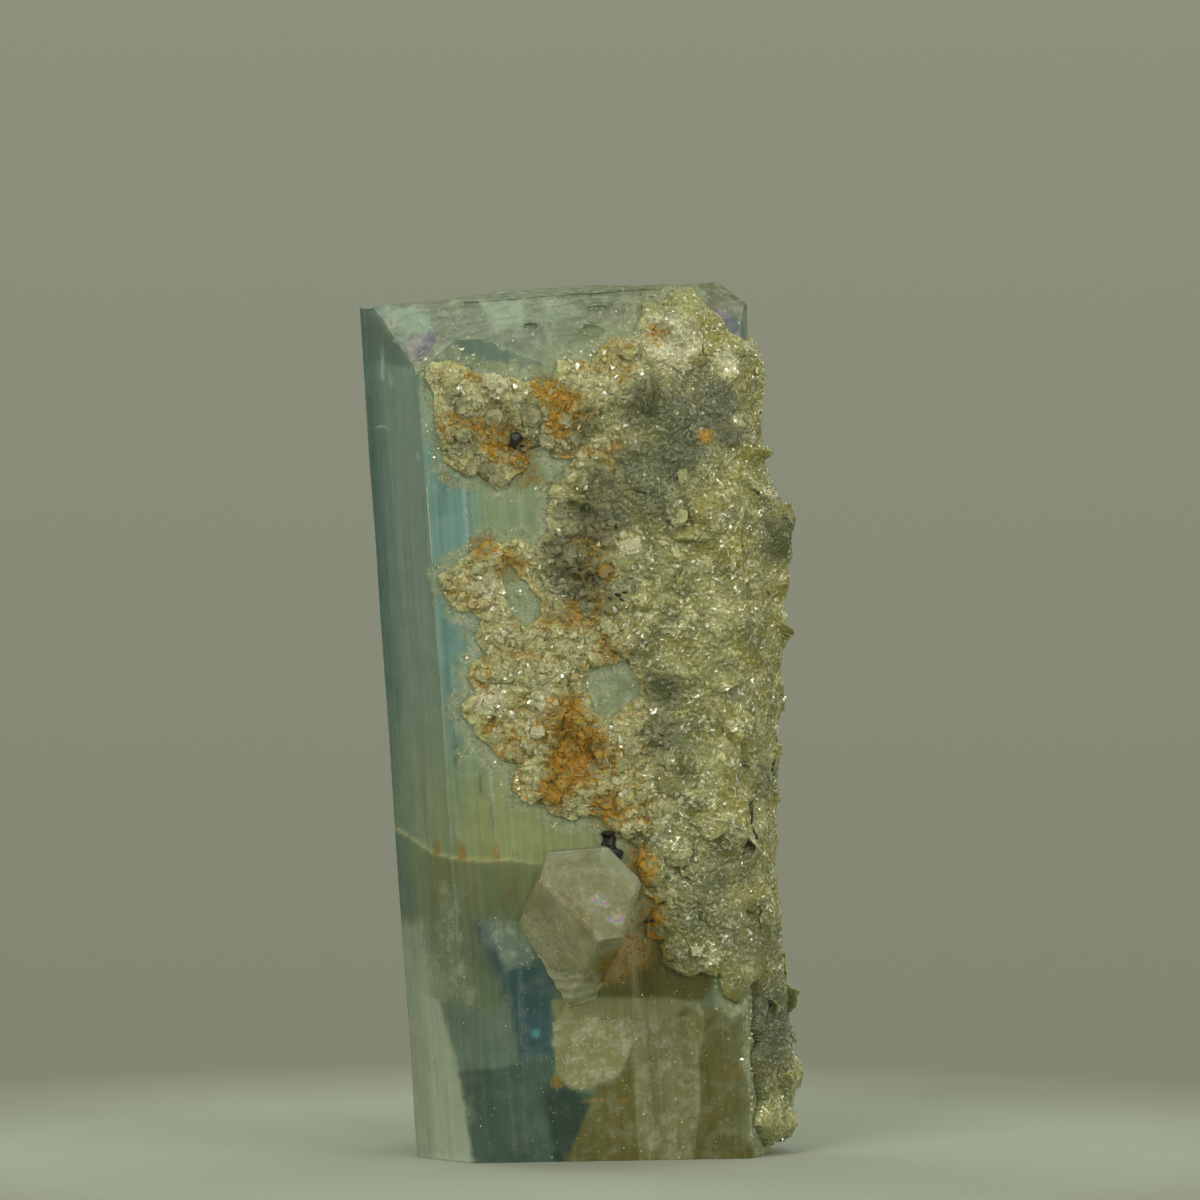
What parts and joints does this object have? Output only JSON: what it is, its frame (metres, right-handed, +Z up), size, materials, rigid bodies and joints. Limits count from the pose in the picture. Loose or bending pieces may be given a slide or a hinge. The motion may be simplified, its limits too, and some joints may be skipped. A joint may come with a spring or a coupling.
{
  "type": "aquamarine with muscovite",
  "caption": "Leaning six-sided blue-green beryl prism, its front and right edge under a crust of mica books, with a short clear crystal on its lower front.",
  "frame": {"origin": "under the middle of the specimen's box, on the flat foot", "axes": "+Z up along the height, the crusted front looks along -Y, +X to the right of it"},
  "size_m": [0.0224, 0.0181, 0.0441],
  "materials": {
    "aquamarine": "glassy prism faces, cloudy inside, blue at the edges and yellow-green in the middle",
    "muscovite": "pearly, silvery yellow-green flakes with orange iron stain",
    "clear_beryl": "colourless and glassy with wispy veils"
  },
  "bodies": {
    "root": {"aquamarine_prism": "aquamarine", "muscovite_crust": "muscovite", "clear_crystal": "clear_beryl"}
  },
  "joints": []
}
